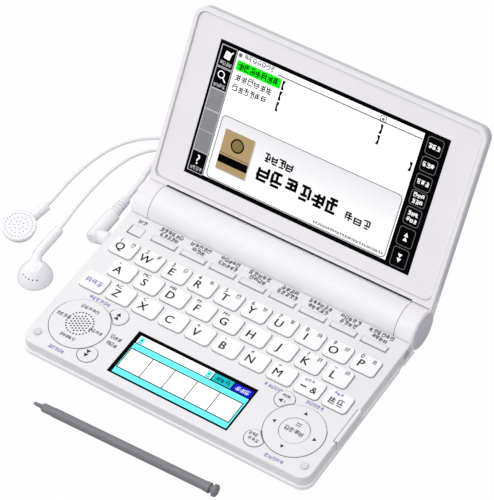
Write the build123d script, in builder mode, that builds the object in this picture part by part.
from build123d import *
import math
import os

# A folding electronic dictionary with a stylus and a pair of earphones, in millimetres.
# The origin is the centre of the front rubber foot's underside, on the table. X runs to the
# right, Y to the back and Z up. The lid is modelled open, as it stands on a table.

# Driving dimensions: the shells
wall = 1.3
floor_wall = 1.2
table_gap = 2.7             # table to the underside of the case
rim_height = 2.6            # the pale rim, which is the visible part of the bottom case
rim_ledge = 0.8             # how far the rim stands out from the top panel
case_corner = 6.0
rim_rounding = 1.0
panel_rounding = 0.6
shell_gap = 0.1             # between the two shells, and round fixed inserts
lip_wall = 1.0
lip_height = 1.0

# Driving dimensions: the keys
key_width = 11.9
key_depth = 9.5
key_gap = 2.1               # between the keys of a row
row_gap = 2.0               # between the rows
key_corner = 1.7
key_rounding = 0.35
key_proud = 0.9
key_clearance = 0.25
key_flange = 0.5            # how far the skirt under the panel reaches out
key_flange_height = 0.6
key_travel = 0.6
row_key_counts = (10, 9, 10)
side_margin = 4.5           # from the outer keys to the panel's side

# Driving dimensions: round controls, function keys and power button
pad_radius = 13.65
pad_proud = 0.3
pad_side_margin = 4.4
enter_radius = 6.7
grille_hole_radius = 0.38
grille_pitch = 1.52
grille_rings = 3            # of holes round the middle one
grille_edge_radius = 6.15   # the outermost holes, on a circle
grille_edge_count = 26
round_key_radius = 4.5
round_key_reach = 3.6       # from the pad's edge out to a round key's centre
round_key_angle = 44.0
function_key_count = 8
function_key_depth = 3.2
function_key_gap = 2.76
function_key_proud = 0.15
function_key_inset = 2.45   # from the key block's right edge
power_width = 7.0
power_depth = 5.2
power_inset = 1.05          # from the key block's left edge
power_gap = 4.9             # to the first function key

# Driving dimensions: front to back
front_margin = 6.85         # rim to the pads' front edge
pad_key_gap = 4.3           # pads' rear edge to the last row of keys
function_gap = 5.45         # first row of keys to the function keys
label_strip = 6.8           # function keys to the barrel
foot_from_front = 10.0      # rim to the centre of the front foot

# Driving dimensions: what lies under the keys
board_post = 2.5
board_thickness = 1.0
membrane_thickness = 0.8
dome_height = 0.15
dome_radius = 2.4
press_gap = 0.05            # left over a dome when its key is pressed
flange_gap = 0.1            # skirt to the underside of the panel
board_margin = 3.5          # board's edge in from the lip
chip_height = 1.4
speaker_radius = 8.5
speaker_height = 3.3

# Driving dimensions: small screen in the base
small_screen_width = 61.8
small_screen_depth = 25.4
small_screen_forward = 2.3  # its centre in front of the pads' centres
small_screen_sunk = 0.1
small_screen_frame = 0.9

# Driving dimensions: batteries, barrel and hinge
cell_radius = 7.25
cell_length = 50.5
cell_gap = 1.25
spring_length = 3.4
contact_thickness = 0.4
nub_contact = 0.8
cell_space = 0.05
cell_clearance = 0.25       # between a cell and its cradle
barrel_wall = 1.2
bulkhead = 1.4
hinge_bulkhead = 3.2
knuckle_length = 9.25
knuckle_gap = 0.25
barrel_clearance = 0.3      # round the barrel and the knuckles
rear_foot_proud = 0.3
hinge_pin_radius = 2.5
hinge_pin_clearance = 0.05
hinge_flange_radius = 4.0
hinge_flange_width = 2.0
hinge_pin_depth = 7.0       # how far a pin reaches into its knuckle
door_angle = -66.0          # the way the battery cover comes off, from straight back
door_half_span = 60.0
door_gap = 0.1
knuckle_rounding = 1.2

# Driving dimensions: lid
lid_open_angle = 122.2
lid_thickness = 7.4
lid_overhang = 0.45         # each side, past the panel
lid_front_margin = 1.0
closed_gap = 0.3
lid_corner = 5.5
lid_wall = 1.3
lid_rounding = 1.6
bezel_rim = 1.7
bezel_recess = 1.0
bezel_plate = 1.2
bezel_bottom_rim = 2.1
lid_barrel_gap = 0.35
knuckle_seam_angle = 51.0   # seam on a knuckle, from the lid's plane round to the front
knuckle_skin = 1.7
screen_width = 117.2
screen_height = 64.8
screen_drop = 0.7
screen_glass_gap = 0.1
lcd_border = 4.4
lcd_thickness = 3.4

# Driving dimensions: right and left sides
silo_radius = 2.35
silo_wall = 0.5
silo_length = 91.0
silo_inset = 0.15           # mouth in from the panel's side
silo_rear_wall = 3.3        # function keys' rear edge to the silo's axis
card_cover_front = 25.1
card_cover_length = 19.2
card_cover_top = 1.2        # how far the cover reaches in over the panel
card_cover_gap = 0.15
card_cover_proud = 0.75
card_slot_height = 0.9
card_slot_depth = 14.0
jack_row_offset = 3.6       # jack's axis behind the first row's centre
jack_height = 6.1
jack_bore = 1.8
jack_sleeve = 0.8
jack_depth = 13.0
strap_slot_length = 3.6
strap_slot_height = 0.9
strap_slot_from_silo = 16.3
finger_notch_length = 4.0

# Driving dimensions: feet, bumpers and screw bosses
foot_length = 96.0
foot_width = 5.0
foot_recess = 0.5
rear_foot_radius = 2.2
rear_foot_recess = 0.7
bumper_radius = 1.7
bumper_recess = 0.8
bumper_proud = 0.5
bumper_from_front = 7.3
bumper_from_side = 4.85
boss_radius = 2.2
boss_bore = 0.8
boss_counterbore = 1.9
post_radius = 1.8

# Driving dimensions: stylus
stylus_length = 93.0
stylus_radius = 2.15
stylus_nose_radius = 2.0
stylus_nib_radius = 0.8
stylus_nib_length = 4.2
stylus_nose_length = 10.0
stylus_head_radius = 2.8
stylus_head_thickness = 1.6
stylus_neck_radius = 1.7
stylus_neck_length = 1.7
stylus_collar_radius = 2.4
stylus_collar_length = 1.4
stylus_tip = (-51.8, -30.0)  # where its tip lies on the table
stylus_turn = 1.2            # its direction on the table, in degrees from X

# Driving dimensions: earphones
cord_radius = 1.25
lead_radius = 0.7
plug_radius = 3.4
plug_body_length = 18.0
plug_out = 8.05              # panel's side to the plug's axis
plug_relief_length = 10.2
plug_relief_radius = 2.3
plug_pin_radius = 1.75
plug_pin_length = 11.5
coil_radius = 12.9
coil_bundle_radius = 3.9
coil_place = (-12.0, 140.9)
splitter_radius = 2.2
splitter_length = 12.0
splitter_place = (-50.0, 142.5)
bud_radius = 8.0
bud_face_radius = 7.75
bud_height = 8.2
bud_rim = 1.2
bud_back_radius = 3.4       # where the domed back turns flat
bud_back_curve = 13.0
bud_back_rounding = 1.0
bud_stem_radius = 2.3
bud_up_place = (-113.1, 44.5)
bud_up_lean = 8.0           # its face leans forwards, in degrees
bud_up_turn = 34.7          # and to the right
bud_up_stem_end = (-111.7, 63.1)
bud_up_stem_height = 3.9
bud_down_place = (-93.4, 28.7)
bud_down_stem_end = (-99.0, 55.0)
bud_down_stem_height = 3.0

# Worked out: front to back, each as a distance from the case's front rim
pad_from_front = front_margin + pad_radius
row_pitch = key_depth + row_gap
last_row = pad_from_front + pad_radius + pad_key_gap + key_depth / 2
row_places = [last_row + row_pitch * (2 - row) for row in range(3)]
function_row = row_places[0] + key_depth / 2 + function_gap + function_key_depth / 2
function_rear = function_row + function_key_depth / 2
barrel_radius = cell_radius + cell_gap + barrel_wall
barrel_inner = barrel_radius - barrel_wall
axis_from_front = function_rear + label_strip + barrel_radius
front = -foot_from_front

# Worked out: across
key_pitch = key_width + key_gap
key_block = (max(row_key_counts) * key_pitch - key_gap) / 2
panel_half = key_block + side_margin
case_half = panel_half + rim_ledge
inner_half = panel_half - wall
lip_half = inner_half - shell_gap
board_half = lip_half - lip_wall - board_margin
pad_x = panel_half - pad_side_margin - pad_radius

# Worked out: heights
floor_z = table_gap + floor_wall
rim_z = table_gap + rim_height
board_z = floor_z + board_post
membrane_z = board_z + board_thickness
dome_z = membrane_z + membrane_thickness
flange_z = dome_z + dome_height + press_gap + key_travel
skirt_top = flange_z + key_flange_height
plate_z = skirt_top + flange_gap
top_z = plate_z + wall
axis_y = front + axis_from_front
axis_z = barrel_radius + rear_foot_proud
case_clear = barrel_radius + barrel_clearance

# Worked out: hinge and lid
lid_half = panel_half + lid_overhang
knuckle_x = lid_half - knuckle_length
barrel_half = knuckle_x - knuckle_gap
lid_top = axis_from_front - lid_front_margin
lid_face = axis_z - top_z - closed_gap
lid_panel = lid_face - bezel_recess
lid_split = lid_panel - bezel_plate
lid_back = lid_face - lid_thickness
lid_bottom = barrel_radius + lid_barrel_gap
screen_v = (lid_bottom + lid_top) / 2 - screen_drop
cells_half = cell_length + (spring_length + contact_thickness + nub_contact + cell_space) / 2
door_half = cells_half
lid_rise = 180 - lid_open_angle

# Planes square to the hinge: one level with the case, one turned with the lid
hinge_axis = (0, axis_y, axis_z)
across_case = Plane(origin=hinge_axis, x_dir=(0, 1, 0), z_dir=(1, 0, 0))
lid_up = (0, math.cos(math.radians(lid_rise)), math.sin(math.radians(lid_rise)))
lid_out = (0, -lid_up[2], lid_up[1])
across_lid = Plane(origin=hinge_axis, x_dir=lid_up, z_dir=(1, 0, 0))
lid_plane = Plane(origin=hinge_axis, x_dir=(1, 0, 0), z_dir=lid_out)

os.makedirs("parts", exist_ok=True)


def level(z):
    """A horizontal plane at this height."""
    return Plane.XY.offset(z)


def along_y(distance):
    """The Y of a place given from the case's front rim."""
    return front + distance


def block(x_from, x_to, y_from, y_to, z_from, z_to):
    """A box between two corners."""
    with BuildPart() as made:
        with BuildSketch(level(z_from)):
            with Locations(((x_from + x_to) / 2, (y_from + y_to) / 2)):
                Rectangle(x_to - x_from, y_to - y_from)
        extrude(amount=z_to - z_from)
    return made.part


def rounded_block(x, y, width, depth, corner, z_from, z_to):
    """An upright box with rounded corners, centred on x and y."""
    with BuildPart() as made:
        with BuildSketch(level(z_from)):
            with Locations((x, y)):
                RectangleRounded(width, depth, corner)
        extrude(amount=z_to - z_from)
    return made.part


def post(x, y, radius, z_from, z_to):
    """An upright cylinder."""
    with BuildPart() as made:
        with BuildSketch(level(z_from)):
            with Locations((x, y)):
                Circle(radius)
        extrude(amount=z_to - z_from)
    return made.part


def sideways(y, z, radius, x_from, x_to):
    """A cylinder along X."""
    with BuildPart() as made:
        with BuildSketch(Plane.YZ.offset(x_from)):
            with Locations((y, z)):
                Circle(radius)
        extrude(amount=x_to - x_from)
    return made.part


def shell_outline(half, y_from, corner, z_from, z_to):
    """The base's plan, with rounded front corners and a square rear end inside the barrel."""
    with BuildPart() as made:
        with BuildSketch(level(z_from)) as plan:
            with Locations((0, (y_from + axis_y) / 2)):
                Rectangle(2 * half, axis_y - y_from)
            fillet(plan.vertices().group_by(Axis.Y)[0], corner)
        extrude(amount=z_to - z_from)
    return made.part


def sector(plane, inner, outer, start, end, x_from, x_to):
    """Part of a ring about the hinge axis, from one angle to another and from one X to another."""
    with BuildPart() as made:
        with BuildSketch(plane.offset(x_from)):
            with BuildLine():
                out = CenterArc((0, 0), outer, start, end - start)
                back = CenterArc((0, 0), inner, start, end - start)
                Line(out @ 0, back @ 0)
                Line(out @ 1, back @ 1)
            make_face()
        extrude(amount=x_to - x_from)
    return made.part


def lid_outline(half, v_from, v_to, corner, w_from, w_to):
    """A slab of the lid, with rounded top corners."""
    with BuildPart() as made:
        with BuildSketch(lid_plane.offset(w_from)) as plan:
            with Locations((0, (v_from + v_to) / 2)):
                Rectangle(2 * half, v_to - v_from)
            if corner:
                top = plan.vertices().sort_by(lambda vertex: lid_plane.to_local_coords(vertex).Y)[-2:]
                fillet(top, corner)
        extrude(amount=w_to - w_from)
    return made.part


def lid_box(x_from, x_to, v_from, v_to, w_from, w_to):
    """A box in the lid's own directions."""
    with BuildPart() as made:
        with BuildSketch(lid_plane.offset(w_from)):
            with Locations(((x_from + x_to) / 2, (v_from + v_to) / 2)):
                Rectangle(x_to - x_from, v_to - v_from)
        extrude(amount=w_to - w_from)
    return made.part


def finish(part, label):
    """Names a finished piece and writes it."""
    part.label = label
    export_step(part, f"parts/{label}.step")


# Places of the controls, as (x, y) ----------------------------------------------------------

key_names = (
    ["q", "w", "e", "r", "t", "y", "u", "i", "o", "p"],
    ["a", "s", "d", "f", "g", "h", "j", "k", "l"],
    ["shift", "z", "x", "c", "v", "b", "n", "m", "mark", "delete"],
)
key_places = {}
for names, place in zip(key_names, row_places):
    for index, name in enumerate(names):
        key_places[name] = ((index - (len(names) - 1) / 2) * key_pitch, along_y(place))

pad_y = along_y(pad_from_front)
round_reach = pad_radius + round_key_reach
round_dx = round_reach * math.cos(math.radians(round_key_angle))
round_dy = round_reach * math.sin(math.radians(round_key_angle))
round_places = [(side * (pad_x - round_dx), pad_y + step) for side in (-1, 1) for step in (-round_dy, round_dy)]

power_right = -key_block + power_inset + power_width
power_place = (power_right - power_width / 2, along_y(function_row) - 0.1 * power_depth)
function_left = power_right + power_gap
function_right = key_block - function_key_inset
function_pitch = (function_right - function_left + function_key_gap) / function_key_count
function_key_width = function_pitch - function_key_gap
function_places = [
    (function_left + function_key_width / 2 + index * function_pitch, along_y(function_row))
    for index in range(function_key_count)
]

small_screen_y = pad_y - small_screen_forward
bumper_places = [(side * (panel_half - bumper_from_side), along_y(bumper_from_front)) for side in (-1, 1)]
boss_places = bumper_places + [(side * (key_block - 1.6), along_y(row_places[1])) for side in (-1, 1)]
jack_y = along_y(row_places[0]) + jack_row_offset
silo_y = along_y(function_rear + silo_rear_wall)
silo_z = floor_z + silo_radius + silo_wall
silo_outer = silo_radius + silo_wall
silo_mouth = panel_half - silo_inset
beam_front = power_place[1] + power_depth / 2 + key_flange / 2 + 2 * shell_gap
card_y = along_y(card_cover_front)
card_end = card_y + card_cover_length
speaker_place = (-pad_x, pad_y)


# The base's top panel, with an opening for every control ------------------------------------

with BuildPart() as base_top_panel:
    add(shell_outline(panel_half, front + rim_ledge, case_corner - rim_ledge, rim_z, top_z))
    fillet(base_top_panel.faces().sort_by(Axis.Z)[-1].edges(), panel_rounding)
    inner_corner = case_corner - rim_ledge - wall
    add(
        shell_outline(inner_half, front + rim_ledge + wall, inner_corner, rim_z, plate_z),
        mode=Mode.SUBTRACT,
    )
    for x, y in boss_places:
        add(post(x, y, boss_radius, floor_z, plate_z))
        add(post(x, y, boss_bore, floor_z, plate_z - wall), mode=Mode.SUBTRACT)
    add(sideways(axis_y, axis_z, case_clear, -case_half, case_half), mode=Mode.SUBTRACT)
    hole_width = key_width + 2 * key_clearance
    hole_depth = key_depth + 2 * key_clearance
    with BuildSketch(level(plate_z)):
        with Locations(*key_places.values()):
            RectangleRounded(hole_width, hole_depth, key_corner + key_clearance)
        with Locations(*function_places):
            Rectangle(function_key_width + 2 * key_clearance, function_key_depth + 2 * key_clearance)
        with Locations(power_place):
            Rectangle(power_width + 2 * key_clearance, power_depth + 2 * key_clearance)
        with Locations((-pad_x, pad_y), (pad_x, pad_y)):
            Circle(pad_radius + key_clearance)
        with Locations(*round_places):
            Circle(round_key_radius + key_clearance)
        with Locations((0, small_screen_y)):
            Rectangle(small_screen_width, small_screen_depth)
    extrude(amount=wall, mode=Mode.SUBTRACT)
    for x, y in bumper_places:
        add(post(x, y, bumper_radius, top_z - bumper_recess, top_z), mode=Mode.SUBTRACT)
    # openings in the sides: card cover, stylus mouth, strap slot and earphone jack
    add(
        block(panel_half - card_cover_top - card_cover_gap, case_half, card_y - card_cover_gap,
              card_end + card_cover_gap, rim_z, top_z),
        mode=Mode.SUBTRACT,
    )
    add(sideways(silo_y, silo_z, silo_outer + shell_gap, inner_half - wall, case_half), mode=Mode.SUBTRACT)
    add(
        block(inner_half - wall, case_half, silo_y - silo_outer, silo_y + silo_outer, rim_z, silo_z),
        mode=Mode.SUBTRACT,
    )
    strap_y = silo_y - strap_slot_from_silo
    add(
        block(inner_half, case_half, strap_y, strap_y + strap_slot_length,
              rim_z + lip_height + shell_gap, rim_z + lip_height + shell_gap + strap_slot_height),
        mode=Mode.SUBTRACT,
    )
    jack_hole = jack_bore + jack_sleeve + shell_gap / 2
    add(sideways(jack_y, jack_height, jack_hole, -case_half, -inner_half), mode=Mode.SUBTRACT)

finish(base_top_panel.part, "base_top_panel")


# The bottom case: floor, pale rim, lip, posts and the seat behind the keys ----------------------

with BuildPart() as base_bottom_case:
    add(shell_outline(case_half, front, case_corner, table_gap, rim_z))
    fillet(base_bottom_case.faces().sort_by(Axis.Z)[0].edges(), rim_rounding)
    add(shell_outline(lip_half, front + rim_ledge + wall + shell_gap, inner_corner - shell_gap,
                      rim_z, rim_z + lip_height))
    add(
        shell_outline(lip_half - lip_wall, front + rim_ledge + wall + shell_gap + lip_wall,
                      inner_corner - shell_gap - lip_wall / 2, floor_z, rim_z + lip_height),
        mode=Mode.SUBTRACT,
    )
    # the seat for the barrel, behind the keys, with a trough for the stylus silo
    add(block(-lip_half, lip_half, beam_front, axis_y, floor_z, plate_z - shell_gap))
    trough_end = silo_mouth - silo_length - silo_wall - shell_gap
    add(
        block(trough_end, case_half, beam_front, silo_y + silo_outer + shell_gap / 2, floor_z, plate_z),
        mode=Mode.SUBTRACT,
    )
    for x, y in [(0, along_y(row_places[2])), (-30, along_y(row_places[1])), (30, along_y(row_places[1]))]:
        add(post(x, y, post_radius, floor_z, board_z))
    for x, y in boss_places:
        add(post(x, y, boss_bore, table_gap, floor_z), mode=Mode.SUBTRACT)
        add(post(x, y, boss_counterbore, table_gap, table_gap + floor_wall / 2), mode=Mode.SUBTRACT)
    add(
        rounded_block(0, 0, foot_length, foot_width, foot_width / 2 - 0.01, table_gap, table_gap + foot_recess),
        mode=Mode.SUBTRACT,
    )
    add(sideways(axis_y, axis_z, case_clear, -case_half, -barrel_half), mode=Mode.SUBTRACT)
    add(sideways(axis_y, axis_z, barrel_radius, -barrel_half, barrel_half), mode=Mode.SUBTRACT)
    add(sideways(axis_y, axis_z, case_clear, barrel_half, case_half), mode=Mode.SUBTRACT)
    # the pocket that the barrel's tongue is screwed into
    tongue_left = -barrel_half + 5
    tongue_right = trough_end - 4
    tongue_front = silo_y - 1.5
    tongue_top = board_z + board_thickness
    add(
        block(tongue_left - shell_gap, tongue_right + shell_gap, tongue_front - shell_gap, axis_y,
              floor_z, tongue_top + shell_gap),
        mode=Mode.SUBTRACT,
    )
    # openings: card slot, stylus mouth, finger notch in the rim and earphone jack
    card_slot_z = board_z - card_slot_height - shell_gap
    card_middle = (card_y + card_end) / 2
    add(
        block(lip_half - lip_wall - 1, case_half, card_middle - card_slot_depth / 2,
              card_middle + card_slot_depth / 2, card_slot_z, board_z),
        mode=Mode.SUBTRACT,
    )
    add(
        block(lip_half - lip_wall - 1, case_half, silo_y - silo_outer - shell_gap,
              silo_y + silo_outer + shell_gap / 2, floor_z, plate_z),
        mode=Mode.SUBTRACT,
    )
    add(
        block(panel_half, case_half, silo_y - silo_outer - shell_gap - finger_notch_length,
              silo_y - silo_outer - shell_gap, table_gap, rim_z),
        mode=Mode.SUBTRACT,
    )
    add(sideways(jack_y, jack_height, jack_hole, -case_half, -lip_half + lip_wall + 2 * shell_gap),
        mode=Mode.SUBTRACT)

finish(base_bottom_case.part, "base_bottom_case")


# The barrel that holds the batteries and carries the lid ---------------------------------------

door_start = door_angle - door_half_span
door_end = door_angle + door_half_span
door_slip = math.degrees(door_gap / barrel_radius)
partition = cells_half + bulkhead

with BuildPart() as hinge_barrel:
    add(sideways(axis_y, axis_z, barrel_radius, -barrel_half, barrel_half))
    add(sideways(axis_y, axis_z, barrel_inner, -cells_half, cells_half), mode=Mode.SUBTRACT)
    for side in (-1, 1):
        ends = sorted((side * partition, side * (barrel_half - hinge_bulkhead)))
        add(sideways(axis_y, axis_z, barrel_inner, *ends), mode=Mode.SUBTRACT)
        ends = sorted((side * (barrel_half - hinge_bulkhead), side * barrel_half))
        add(
            sideways(axis_y, axis_z, hinge_pin_radius + hinge_pin_clearance, *ends),
            mode=Mode.SUBTRACT,
        )
    # cradle ribs over the cells, then the opening for the battery cover
    for x in (-0.75 * cells_half, -0.25 * cells_half, 0.25 * cells_half, 0.75 * cells_half):
        add(
            sector(across_case, cell_radius + cell_clearance, barrel_inner + 0.2, door_end + 8,
                   door_start + 352, x - bulkhead / 2, x + bulkhead / 2)
        )
    add(
        sector(across_case, cell_radius, barrel_radius + 1, door_start - door_slip,
               door_end + door_slip, -door_half, door_half),
        mode=Mode.SUBTRACT,
    )
    for side in (-1, 1):
        foot_x = side * (partition + barrel_half) / 2
        add(
            post(foot_x, axis_y, rear_foot_radius, 0, rear_foot_proud + rear_foot_recess),
            mode=Mode.SUBTRACT,
        )
    tongue = block(tongue_left, tongue_right, tongue_front, axis_y, floor_z, tongue_top)
    add(tongue - sideways(axis_y, axis_z, barrel_radius - barrel_wall / 2, tongue_left, tongue_right))
    for x in (tongue_left + 4, tongue_right - 4):
        add(post(x, silo_y, boss_bore, floor_z, tongue_top - 1), mode=Mode.SUBTRACT)

finish(hinge_barrel.part, "hinge_barrel")

with BuildPart() as battery_cover:
    add(
        sector(across_case, barrel_inner, barrel_radius, door_start, door_end,
               -door_half + door_gap, door_half - door_gap)
    )

finish(battery_cover.part, "battery_cover")


# Two cells end to end, with a nub at the right of each ------------------------------------------

nub_radius = cell_radius * 0.37
nub_length = 1.2
cells_left = -cells_half + contact_thickness + spring_length
with BuildPart() as batteries:
    for index in range(2):
        cell_x = cells_left + index * (cell_length + cell_space)
        cell_end = cell_x + cell_length - nub_length
        add(sideways(axis_y, axis_z, cell_radius, cell_x, cell_end))
        chamfer(batteries.edges().filter_by(GeomType.CIRCLE).group_by(Axis.X)[-1], 0.4)
        add(sideways(axis_y, axis_z, nub_radius, cell_end, cell_end + nub_length))

finish(batteries.part, "batteries")

# Contacts: a coil spring at the left, drawn as a stepped cone of rings, and a plate at the right
with BuildPart() as battery_contacts:
    add(sideways(axis_y, axis_z, cell_radius - 2, -cells_half, -cells_half + contact_thickness))
    ring_count = 4
    ring_length = spring_length / ring_count
    for index in range(ring_count):
        ring_x = -cells_half + contact_thickness + index * ring_length
        ring_radius = cell_radius - 2.6 - 0.45 * index
        with BuildPart(mode=Mode.PRIVATE) as ring:
            add(sideways(axis_y, axis_z, ring_radius, ring_x, ring_x + ring_length))
            add(sideways(axis_y, axis_z, ring_radius - 0.9, ring_x, ring_x + ring_length), mode=Mode.SUBTRACT)
        add(ring.part)
    add(sideways(axis_y, axis_z, cell_radius - 2, cells_half - contact_thickness, cells_half))
    add(sideways(axis_y, axis_z, nub_radius, cells_half - nub_contact, cells_half))

finish(battery_contacts.part, "battery_contacts")


# Hinge pins: one each side, flanged inside the barrel and fixed in the lid's knuckle -------------

pin_inner = barrel_half - hinge_bulkhead
pin_outer = knuckle_x + hinge_pin_depth
with BuildPart() as hinge_pins:
    for side in (-1, 1):
        add(sideways(axis_y, axis_z, hinge_pin_radius, *sorted((side * (pin_inner - 2.2), side * pin_outer))))
        flange_ends = sorted((side * (pin_inner - 0.2), side * (pin_inner - 0.2 - hinge_flange_width)))
        add(sideways(axis_y, axis_z, hinge_flange_radius, *flange_ends))

finish(hinge_pins.part, "hinge_pins")


# The board, with its chips, card socket and earphone jack -------------------------------------

board_front = front + rim_ledge + wall + shell_gap + lip_wall + board_margin
board_rear = silo_y - silo_outer - shell_gap
jack_x = -silo_mouth
with BuildPart() as main_board:
    add(block(-board_half, board_half, board_front, board_rear, board_z, membrane_z))
    for x, y in boss_places:
        add(post(x, y, boss_radius + shell_gap, board_z, membrane_z), mode=Mode.SUBTRACT)
    add(
        post(*speaker_place, speaker_radius + 2 * shell_gap, board_z, membrane_z),
        mode=Mode.SUBTRACT,
    )
    chips = [
        (-8, 44, 13, 13),
        (16, 42, 10, 8),
        (-24, 38, 8, 12),
        (43, 44, 9, 9),
        (-44, 44, 12, 6),
        (8, 60, 18, 4),
    ]
    for x, y, width, depth in chips:
        add(block(x - width / 2, x + width / 2, y - depth / 2, y + depth / 2, board_z - chip_height, board_z))
    socket_inner = board_half - 15
    add(
        block(socket_inner, lip_half - lip_wall - shell_gap, card_middle - card_slot_depth / 2 - 0.5,
              card_middle + card_slot_depth / 2 + 0.5, card_slot_z - 0.5, board_z)
    )
    add(
        block(socket_inner + 1, lip_half, card_middle - card_slot_depth / 2 + 0.5,
              card_middle + card_slot_depth / 2 - 0.5, card_slot_z, card_slot_z + card_slot_height),
        mode=Mode.SUBTRACT,
    )
    jack_half = jack_bore + 1.7
    jack_end = jack_x + jack_depth + 2
    jack_top = dome_z + dome_height - shell_gap
    add(
        block(-board_half, jack_end + 0.5, jack_y - jack_half - 0.3, jack_y + jack_half + 0.3, board_z, membrane_z),
        mode=Mode.SUBTRACT,
    )
    add(block(-lip_half + lip_wall + shell_gap, jack_end + 1, jack_y - jack_half, jack_y + jack_half,
              floor_z, jack_top))
    add(sideways(jack_y, jack_height, jack_bore + jack_sleeve, jack_x, -lip_half + lip_wall + shell_gap))
    add(sideways(jack_y, jack_height, jack_bore, jack_x, jack_x + jack_depth), mode=Mode.SUBTRACT)

finish(main_board.part, "main_board")


# Rubber sheet with a low dome under every key ----------------------------------------------------

dome_places = [*key_places.values(), *function_places, power_place, (pad_x, pad_y)]
dome_places += [(side * pad_x + x, pad_y + y) for side in (-1, 1)
                for x, y in ((0, 11), (0, -11), (11, 0), (-11, 0))]
with BuildPart() as key_membrane:
    add(block(-board_half, board_half, board_front, board_rear, membrane_z, dome_z))
    for x, y in dome_places:
        function_dome = (x, y) in function_places
        add(post(x, y, function_key_depth / 2 if function_dome else dome_radius, dome_z, dome_z + dome_height))
    for x, y in boss_places:
        add(post(x, y, boss_radius + shell_gap, membrane_z, dome_z + dome_height), mode=Mode.SUBTRACT)
    add(
        post(*speaker_place, speaker_radius + 2 * shell_gap, membrane_z, dome_z),
        mode=Mode.SUBTRACT,
    )
    opening_half = small_screen_width / 2 + small_screen_frame + shell_gap
    opening_deep = small_screen_depth / 2 + small_screen_frame + shell_gap
    add(
        block(-opening_half, opening_half, small_screen_y - opening_deep, small_screen_y + opening_deep,
              membrane_z, dome_z),
        mode=Mode.SUBTRACT,
    )
    add(
        block(-board_half, jack_end + 1.5, jack_y - jack_half - 0.5, jack_y + jack_half + 0.5,
              membrane_z, dome_z + dome_height),
        mode=Mode.SUBTRACT,
    )

finish(key_membrane.part, "key_membrane")


# Small touch screen in the base, and the speaker ------------------------------------------------

with BuildPart() as small_screen:
    add(
        block(-opening_half + shell_gap, opening_half - shell_gap,
              small_screen_y - opening_deep + shell_gap, small_screen_y + opening_deep - shell_gap,
              membrane_z, plate_z - shell_gap)
    )
    glass_half = small_screen_width / 2 - shell_gap
    glass_deep = small_screen_depth / 2 - shell_gap
    add(
        block(-glass_half, glass_half, small_screen_y - glass_deep, small_screen_y + glass_deep,
              plate_z - shell_gap, top_z - small_screen_sunk)
    )

finish(small_screen.part, "small_screen")

with BuildPart() as speaker:
    add(post(*speaker_place, speaker_radius, floor_z, floor_z + speaker_height))
    chamfer(speaker.faces().sort_by(Axis.Z)[-1].edges(), 0.5)
    add(
        post(*speaker_place, speaker_radius - 1.5, floor_z + speaker_height - 0.4, floor_z + speaker_height),
        mode=Mode.SUBTRACT,
    )
    add(post(*speaker_place, speaker_radius * 0.35, floor_z + speaker_height - 0.4, floor_z + speaker_height))

finish(speaker.part, "speaker")


# Keys: a cap through the panel on a wider skirt ---------------------------------------------------

for name, (x, y) in key_places.items():
    with BuildPart() as key:
        add(rounded_block(x, y, key_width, key_depth, key_corner, skirt_top, top_z + key_proud))
        fillet(key.faces().sort_by(Axis.Z)[-1].edges(), key_rounding)
        add(
            rounded_block(x, y, key_width + 2 * key_flange, key_depth + 2 * key_flange, key_corner,
                          flange_z, skirt_top)
        )
    finish(key.part, f"key_{name}")

with BuildPart() as power_button:
    add(rounded_block(*power_place, power_width, power_depth, 0.3, skirt_top, top_z + function_key_proud))
    add(rounded_block(*power_place, power_width + key_flange, power_depth + key_flange, 0.3, flange_z, skirt_top))

finish(power_button.part, "power_button")


# Left pad with the loudspeaker grille, cursor ring and enter button -------------------------------

grille_places = []
for column in range(-grille_rings, grille_rings + 1):
    for row in range(-grille_rings, grille_rings + 1):
        if abs(column + row) <= grille_rings:
            x = column * grille_pitch * math.cos(math.radians(30))
            y = (row + column / 2) * grille_pitch
            grille_places.append((-pad_x + x, pad_y + y))
for index in range(grille_edge_count):
    turn = 2 * math.pi * index / grille_edge_count
    x = grille_edge_radius * math.cos(turn)
    y = grille_edge_radius * math.sin(turn)
    grille_places.append((-pad_x + x, pad_y + y))

with BuildPart() as grille_pad:
    add(post(-pad_x, pad_y, pad_radius, skirt_top, top_z + pad_proud))
    fillet(grille_pad.faces().sort_by(Axis.Z)[-1].edges(), pad_proud)
    add(post(-pad_x, pad_y, pad_radius + key_flange, flange_z, skirt_top))
    with BuildSketch(level(flange_z)):
        with Locations(*grille_places):
            Circle(grille_hole_radius)
    extrude(amount=top_z + pad_proud - flange_z, mode=Mode.SUBTRACT)

finish(grille_pad.part, "grille_pad")

with BuildPart() as cursor_ring:
    add(post(pad_x, pad_y, pad_radius, skirt_top, top_z + pad_proud))
    fillet(cursor_ring.faces().sort_by(Axis.Z)[-1].edges(), pad_proud)
    add(post(pad_x, pad_y, pad_radius + key_flange, flange_z, skirt_top))
    add(post(pad_x, pad_y, enter_radius + key_clearance, flange_z, top_z + pad_proud), mode=Mode.SUBTRACT)
    add(
        post(pad_x, pad_y, enter_radius + key_clearance + key_flange, flange_z, skirt_top + flange_gap),
        mode=Mode.SUBTRACT,
    )

finish(cursor_ring.part, "cursor_ring")

with BuildPart() as enter_button:
    add(post(pad_x, pad_y, enter_radius, skirt_top, top_z + pad_proud))
    fillet(enter_button.faces().sort_by(Axis.Z)[-1].edges(), pad_proud)
    add(post(pad_x, pad_y, enter_radius + key_flange, flange_z, skirt_top))

finish(enter_button.part, "enter_button")


# Function keys and the round keys, which the pads cut to crescents ---------------------------------

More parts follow.
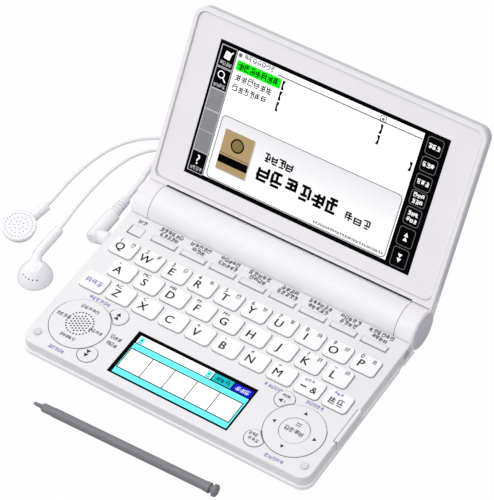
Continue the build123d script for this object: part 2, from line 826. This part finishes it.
with BuildPart() as menu_keys:
    for x, y in function_places:
        add(rounded_block(x, y, function_key_width, function_key_depth, 0.3, skirt_top, top_z + function_key_proud))
        add(rounded_block(x, y, function_key_width + key_flange, function_key_depth + key_flange, 0.3,
                          flange_z, skirt_top))
    for x, y in round_places:
        with BuildPart(mode=Mode.PRIVATE) as round_key:
            add(post(x, y, round_key_radius, skirt_top, top_z + pad_proud))
            fillet(round_key.faces().sort_by(Axis.Z)[-1].edges(), pad_proud)
            add(post(x, y, round_key_radius + key_flange, flange_z, skirt_top))
            pad_side = math.copysign(pad_x, x)
            add(post(pad_side, pad_y, pad_radius + key_clearance + key_flange, flange_z, top_z + 1), mode=Mode.SUBTRACT)
        add(round_key.part)

finish(menu_keys.part, "menu_keys")


# Stylus silo: a tube along the back of the base, closed at its inner end ---------------------------

silo_end = silo_mouth - silo_length
with BuildPart() as stylus_silo:
    add(sideways(silo_y, silo_z, silo_outer, silo_end - silo_wall, silo_mouth))
    add(sideways(silo_y, silo_z, silo_radius, silo_end, silo_mouth), mode=Mode.SUBTRACT)

finish(stylus_silo.part, "stylus_silo")

# Rubber: the long front foot, two feet under the barrel's ends and two bumpers for the lid
with BuildPart() as rubber_feet:
    add(rounded_block(0, 0, foot_length - shell_gap, foot_width - shell_gap, foot_width / 2 - 0.1,
                      0, table_gap + foot_recess))
    for side in (-1, 1):
        foot_x = side * (partition + barrel_half) / 2
        add(post(foot_x, axis_y, rear_foot_radius - shell_gap, 0, rear_foot_proud + rear_foot_recess))
    for x, y in bumper_places:
        add(post(x, y, bumper_radius - shell_gap / 2, top_z - bumper_recess, top_z + bumper_proud))

finish(rubber_feet.part, "rubber_feet")

# Cover over the card slot, which wraps from the side onto the panel
with BuildPart() as card_slot_cover:
    cover_in = panel_half - card_cover_top
    cover_out = panel_half + card_cover_proud
    add(block(cover_in, cover_out, card_y, card_end, rim_z + shell_gap, top_z))
    outer_edges = card_slot_cover.faces().sort_by(Axis.X)[-1].edges()
    fillet(outer_edges, panel_rounding)

finish(card_slot_cover.part, "card_slot_cover")


# Lid: the back shell with its two knuckles -----------------------------------------------------------

seam_low = math.degrees(math.asin(lid_split / barrel_radius))
with BuildPart() as lid_back_shell:
    add(lid_outline(lid_half, 0, lid_top, lid_corner, lid_back, lid_split))
    outside = lid_back_shell.faces().sort_by(Axis(hinge_axis, lid_out))[0]
    far_edges = outside.edges().sort_by(lambda edge: lid_plane.to_local_coords(edge.center()).Y)[1:]
    fillet(far_edges, lid_rounding)
    cavity_v = lid_bottom + lid_wall + 1
    add(
        lid_outline(lid_half - lid_wall, cavity_v, lid_top - lid_wall, lid_corner - lid_wall,
                    lid_back + lid_wall, lid_split),
        mode=Mode.SUBTRACT,
    )
    add(sideways(axis_y, axis_z, lid_bottom, -knuckle_x, knuckle_x), mode=Mode.SUBTRACT)
    # pads that carry the display module
    lcd_half = screen_width / 2 + lcd_border
    lcd_back = lid_split - lcd_thickness
    for x in (-lcd_half + 10, lcd_half - 10):
        for v in (screen_v - screen_height / 3, screen_v + screen_height / 3):
            add(lid_box(x - 4, x + 4, v - 4, v + 4, lid_back + lid_wall, lcd_back))
    for side in (-1, 1):
        ends = sorted((side * knuckle_x, side * lid_half))
        with BuildPart(mode=Mode.PRIVATE) as knuckle:
            add(sideways(axis_y, axis_z, barrel_radius, *ends))
            outer_face = knuckle.faces().sort_by(Axis.X)[-1 if side > 0 else 0]
            fillet(outer_face.edges(), knuckle_rounding)
        add(knuckle.part)
        bore_ends = sorted((side * knuckle_x, side * (pin_outer + shell_gap)))
        add(
            sideways(axis_y, axis_z, hinge_pin_radius + 0.02, *bore_ends),
            mode=Mode.SUBTRACT,
        )
        add(
            sector(across_lid, barrel_radius - knuckle_skin, barrel_radius + 1, seam_low,
                   knuckle_seam_angle, *ends),
            mode=Mode.SUBTRACT,
        )
        skin_room = lid_box(*ends, 0, lid_top / 2, lid_split, 0)
        skin_room -= sideways(axis_y, axis_z, barrel_radius - knuckle_skin, *ends)
        add(skin_room, mode=Mode.SUBTRACT)

finish(lid_back_shell.part, "lid_back_shell")


# Lid: the front bezel, with its raised rim and the skins that close the knuckles ------------------------

with BuildPart() as lid_front_bezel:
    add(lid_outline(lid_half, 0, lid_top, lid_corner, lid_split, lid_face))
    add(
        lid_outline(lid_half - bezel_rim, lid_bottom + bezel_bottom_rim, lid_top - bezel_rim,
                    lid_corner - bezel_rim, lid_panel, lid_face),
        mode=Mode.SUBTRACT,
    )
    add(sideways(axis_y, axis_z, lid_bottom, -knuckle_x, knuckle_x), mode=Mode.SUBTRACT)
    for side in (-1, 1):
        ends = sorted((side * knuckle_x, side * lid_half))
        inner_radius = barrel_radius - knuckle_skin + shell_gap / 2
        add(sideways(axis_y, axis_z, inner_radius, *ends), mode=Mode.SUBTRACT)
        with BuildPart(mode=Mode.PRIVATE) as skin:
            add(sector(across_lid, inner_radius, barrel_radius, seam_low, knuckle_seam_angle, *ends))
            outer_face = skin.faces().sort_by(Axis.X)[-1 if side > 0 else 0]
            chamfer(outer_face.edges().filter_by(GeomType.CIRCLE).sort_by(SortBy.RADIUS)[-1], knuckle_rounding * 0.6)
        add(skin.part)
    add(
        lid_box(-screen_width / 2, screen_width / 2, screen_v - screen_height / 2,
                screen_v + screen_height / 2, lid_split, lid_panel),
        mode=Mode.SUBTRACT,
    )

finish(lid_front_bezel.part, "lid_front_bezel")

with BuildPart() as screen_window:
    glass_half = screen_width / 2 - screen_glass_gap
    glass_tall = screen_height / 2 - screen_glass_gap
    add(lid_box(-glass_half, glass_half, screen_v - glass_tall, screen_v + glass_tall, lid_split, lid_panel))

finish(screen_window.part, "screen_window")

with BuildPart() as lcd_module:
    lcd_tall = screen_height / 2 + lcd_border
    add(lid_box(-lcd_half, lcd_half, screen_v - lcd_tall, screen_v + lcd_tall, lcd_back, lid_split))

finish(lcd_module.part, "lcd_module")


# Stylus, lying on the table: it rests on its head and on the nose of its barrel --------------------------

nose_from_tip = stylus_nib_length + 1
rest_run = stylus_length - stylus_head_thickness / 2 - nose_from_tip
stylus_slope = math.degrees(math.asin((stylus_head_radius - stylus_nose_radius) / rest_run))
tip_height = stylus_nose_radius / math.cos(math.radians(stylus_slope))
tip_height -= nose_from_tip * math.sin(math.radians(stylus_slope))
stylus_plane = (
    Plane(origin=(*stylus_tip, tip_height + 0.01), x_dir=(1, 0, 0), z_dir=(0, -1, 0))
    .rotated((0, 0, stylus_turn))
    .rotated((0, -stylus_slope, 0))
)
collar_end = stylus_length - stylus_head_thickness - stylus_neck_length
collar_start = collar_end - stylus_collar_length
with BuildPart() as stylus:
    with BuildSketch(stylus_plane):
        with BuildLine():
            Polyline(
                (0, 0),
                (0, stylus_nib_radius * 0.6),
                (0.5, stylus_nib_radius),
                (stylus_nib_length, stylus_nib_radius * 1.25),
                (stylus_nib_length, stylus_nose_radius - 0.6),
                (nose_from_tip, stylus_nose_radius),
                (stylus_nose_length, stylus_nose_radius),
                (stylus_nose_length + 0.2, stylus_radius),
                (collar_start - 2, stylus_radius),
                (collar_start, stylus_collar_radius),
                (collar_end, stylus_collar_radius),
                (collar_end, stylus_neck_radius),
                (stylus_length - stylus_head_thickness, stylus_neck_radius),
                (stylus_length - stylus_head_thickness, stylus_head_radius),
                (stylus_length - 0.3, stylus_head_radius),
                (stylus_length, stylus_head_radius - 0.4),
                (stylus_length, 0),
                close=True,
            )
        make_face()
    revolve(axis=Axis(stylus_plane.origin, stylus_plane.x_dir))

finish(stylus.part, "stylus")


# Earphones: the cords' points are chosen by hand, where they lie on the table ---------------------------

plug_x = -panel_half - plug_out
plug_front = jack_y - plug_radius
plug_rear = plug_front + plug_body_length
relief_rear = plug_rear + plug_relief_length

with BuildPart() as earphone_plug:
    with BuildSketch(Plane.XZ.offset(-plug_front)):
        with Locations((plug_x, jack_height)):
            Circle(plug_radius)
    extrude(amount=-plug_body_length)
    chamfer(earphone_plug.edges().filter_by(GeomType.CIRCLE), 0.8)
    add(sideways(jack_y, jack_height, plug_radius - 0.4, plug_x, -case_half - shell_gap))
    add(sideways(jack_y, jack_height, plug_pin_radius, -case_half - shell_gap, -case_half + plug_pin_length))
    # the ribbed strain relief
    rib_count = 5
    rib_length = plug_relief_length / rib_count
    for index in range(rib_count):
        rib_y = plug_rear + index * rib_length
        rib_radius = plug_relief_radius - 0.1 * index + 0.35
        with BuildSketch(Plane.XZ.offset(-rib_y)):
            with Locations((plug_x, jack_height)):
                Circle(rib_radius)
        extrude(amount=-rib_length * 0.6)
        with BuildSketch(Plane.XZ.offset(-rib_y - rib_length * 0.6)):
            with Locations((plug_x, jack_height)):
                Circle(rib_radius - 0.4)
        extrude(amount=-rib_length * 0.4)

finish(earphone_plug.part, "earphone_plug")


def route_radii(points, name, smallest):
    """The radius of each arc of a cord's route, by the points on either side."""
    vectors = [Vector(*point) for point in points]
    radii = []
    for before, here, after in zip(vectors, vectors[1:], vectors[2:]):
        run = min((here - before).length, (after - here).length)
        turn = (here - before).get_angle(after - here)
        radii.append(0.45 * run / math.tan(math.radians(turn / 2)))
    print(name, "radii", [round(radius, 1) for radius in radii], "smallest wanted", round(smallest, 1))
    return radii


def cord_tube(points, radius, name):
    """A round cord along straight runs joined by tangent arcs."""
    with BuildPart() as made:
        with BuildLine() as path:
            FilletPolyline(*points, radius=route_radii(points, name, 6 * radius))
        start = Plane(origin=path.line @ 0, z_dir=path.line % 0)
        with BuildSketch(start):
            Circle(radius)
        sweep(path=path.line)
    length = path.wires()[0].length
    print(name, "length", round(length, 1), "volume", round(made.part.volume, 1),
          "section times length", round(math.pi * radius**2 * length, 1))
    return made.part


main_cord_to_coil = [
    (plug_x, relief_rear, jack_height),
    (-82.4, 91.5, 5.0),
    (-83.5, 98.5, 3.2),
    (-85.1, 105.4, 1.8),
    (-86.0, 112.6, cord_radius),
    (-84.6, 119.2, cord_radius),
    (-79.6, 123.8, cord_radius),
    (-72.4, 125.4, cord_radius),
    (-61.0, 124.6, cord_radius),
    (-46.0, 125.0, cord_radius),
    (-32.0, 127.6, cord_radius),
    (-21.5, 130.0, 2.2),
    (-13.5, 130.4, 3.4),
]
main_cord_from_coil = [
    (-14.5, 151.5, 3.4),
    (-22.0, 151.3, 2.3),
    (-29.8, 148.8, 1.5),
    (-37.0, 145.2, 1.5),
    (splitter_place[0] + splitter_length / 2, splitter_place[1] + 0.4, splitter_radius),
]
lead_height = lead_radius + 0.05
splitter_left = splitter_place[0] - splitter_length / 2
left_lead_route = [
    (*bud_up_stem_end, bud_up_stem_height),
    (-112.2, 68.0, 2.3),
    (-113.0, 73.8, 1.2),
    (-113.4, 81.6, lead_height),
    (-112.6, 93.5, lead_height),
    (-110.1, 105.4, lead_height),
    (-106.0, 115.1, lead_height),
    (-100.1, 122.3, lead_height),
    (-92.7, 127.5, lead_height),
    (-82.5, 132.6, lead_height),
    (-71.5, 138.2, 0.9),
    (-63.0, 141.8, 1.4),
    (splitter_left, splitter_place[1] + 0.9, splitter_radius),
]
right_lead_route = [
    (*bud_down_stem_end, bud_down_stem_height),
    (-99.6, 59.8, 1.9),
    (-100.6, 65.4, 1.1),
    (-101.4, 73.6, lead_height),
    (-101.6, 85.3, lead_height),
    (-100.7, 98.0, lead_height),
    (-97.9, 109.5, lead_height),
    (-94.1, 116.2, lead_height),
    (-89.6, 120.6, lead_height),
    (-82.0, 126.0, lead_height),
    (-72.5, 133.4, lead_height),
    (-64.0, 139.2, 1.3),
    (splitter_left, splitter_place[1] - 0.9, splitter_radius),
]

with BuildPart() as main_cord:
    add(cord_tube(main_cord_to_coil, cord_radius, "main cord to coil"))
    add(cord_tube(main_cord_from_coil, cord_radius, "main cord from coil"))

finish(main_cord.part, "main_cord")

with BuildPart() as cord_coil:
    with Locations((*coil_place, coil_bundle_radius)):
        Torus(coil_radius, coil_bundle_radius)

finish(cord_coil.part, "cord_coil")

with BuildPart() as cord_splitter:
    add(
        sideways(splitter_place[1], splitter_radius, splitter_radius, splitter_left,
                 splitter_left + splitter_length)
    )
    chamfer(cord_splitter.edges().filter_by(GeomType.CIRCLE), 0.3)

finish(cord_splitter.part, "cord_splitter")

with BuildPart() as left_lead:
    add(cord_tube(left_lead_route, lead_radius, "left lead"))

finish(left_lead.part, "left_lead")

with BuildPart() as right_lead:
    add(cord_tube(right_lead_route, lead_radius, "right lead"))

finish(right_lead.part, "right_lead")


def bud_head():
    """An earbud's head, face down: a flat face, a rim and a domed back."""
    with BuildPart() as made:
        with BuildSketch(Plane.XZ):
            with BuildLine():
                Polyline((0, 0), (bud_face_radius, 0), (bud_radius, bud_radius - bud_face_radius),
                         (bud_radius, bud_rim))
                RadiusArc((bud_radius, bud_rim), (bud_back_radius, bud_height), -bud_back_curve)
                Polyline((bud_back_radius, bud_height), (0, bud_height), (0, 0))
            make_face()
        revolve(axis=Axis.Z)
        fillet(made.edges().group_by(Axis.Z)[-1], bud_back_rounding)
    return made.part


def bud_stem(start, bend, end):
    """An earbud's round stem, from inside its head to where the lead enters."""
    with BuildPart() as made:
        with BuildLine() as path:
            FilletPolyline(start, bend, end, radius=8)
        with BuildSketch(Plane(origin=path.line @ 0, z_dir=path.line % 0)):
            Circle(bud_stem_radius)
        sweep(path=path.line)
    return made.part


leaning = Rotation(0, 0, bud_up_turn) * Rotation(bud_up_lean, 0, 0) * Rotation(0, 0, -bud_up_turn)
bud_up = leaning * Rotation(180, 0, 0) * bud_head()
with BuildPart() as earbuds:
    add(Location((*bud_up_place, -bud_up.bounding_box().min.Z)) * bud_up)
    add(
        bud_stem((bud_up_place[0] + 0.1, bud_up_place[1] + 2, 4.4),
                 (bud_up_place[0] + 0.2, bud_up_place[1] + 8.5, 4.3), (*bud_up_stem_end, bud_up_stem_height))
    )
    add(Location((*bud_down_place, 0)) * bud_head())
    add(
        bud_stem((bud_down_place[0] - 0.8, bud_down_place[1] + 1.3, 5.7),
                 (bud_down_place[0] - 4.0, bud_down_place[1] + 7.8, 5.8),
                 (*bud_down_stem_end, bud_down_stem_height))
    )

finish(earbuds.part, "earbuds")
